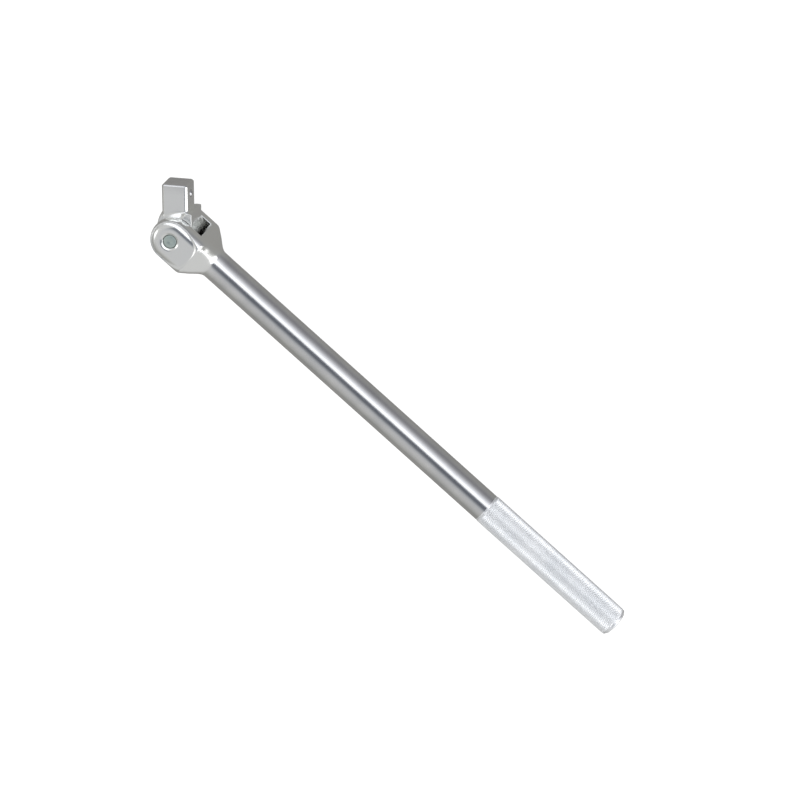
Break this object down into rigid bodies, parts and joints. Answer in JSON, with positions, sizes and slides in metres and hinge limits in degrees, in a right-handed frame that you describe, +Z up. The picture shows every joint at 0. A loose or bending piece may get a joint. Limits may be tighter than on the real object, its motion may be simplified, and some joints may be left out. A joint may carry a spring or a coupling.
{
  "type": "breaker bar",
  "caption": "Long plated steel bar with a knurled grip and a forged yoke that holds a hinged square drive, for breaking loose tight nuts and bolts with a socket.",
  "frame": {"origin": "on the surface the tool lies on, under the middle of its bounding box, with the head 50 degrees from straight", "axes": "+X from the yoke to the end of the grip, along the bar; +Z up along the hinge pin, out of the upper ear; the drive points towards -X and +Y"},
  "size_m": [0.4506, 0.0498, 0.0468],
  "materials": {
    "plated_steel": "bright nickel-chrome plate over ground and polished steel, slightly soft in its reflections",
    "pin_steel": "hardened steel, ground",
    "ball_steel": "polished bearing ball",
    "spring_steel": "oiled spring wire"
  },
  "bodies": {
    "handle": {"handle_bar": "plated_steel", "hinge_pin": "pin_steel", "friction_spring": "spring_steel"},
    "head": {"drive_tang": "plated_steel", "detent_spring": "spring_steel"},
    "ball": {"detent_ball": "ball_steel"},
    "plunger": {"friction_plunger": "pin_steel"}
  },
  "joints": [
    {"name": "head_hinge", "type": "hinge", "parent": "handle", "child": "head", "pos_m": [-0.19465, -0.00928, 0.0234], "axis": [0, 0, 1], "range_deg": [-40, 140]},
    {"name": "ball_press", "type": "slide", "parent": "head", "child": "ball", "axis": [-0.766, -0.6428, 0], "range_m": [0, 0.0013], "stiffness_N_per_m": 2000, "springref_m": -0.002, "deforming": ["detent_spring"]},
    {"name": "plunger_press", "type": "slide", "parent": "handle", "child": "plunger", "axis": [1, 0, 0], "range_m": [0, 0.001], "stiffness_N_per_m": 3000, "springref_m": -0.003, "deforming": ["friction_spring"]}
  ]
}
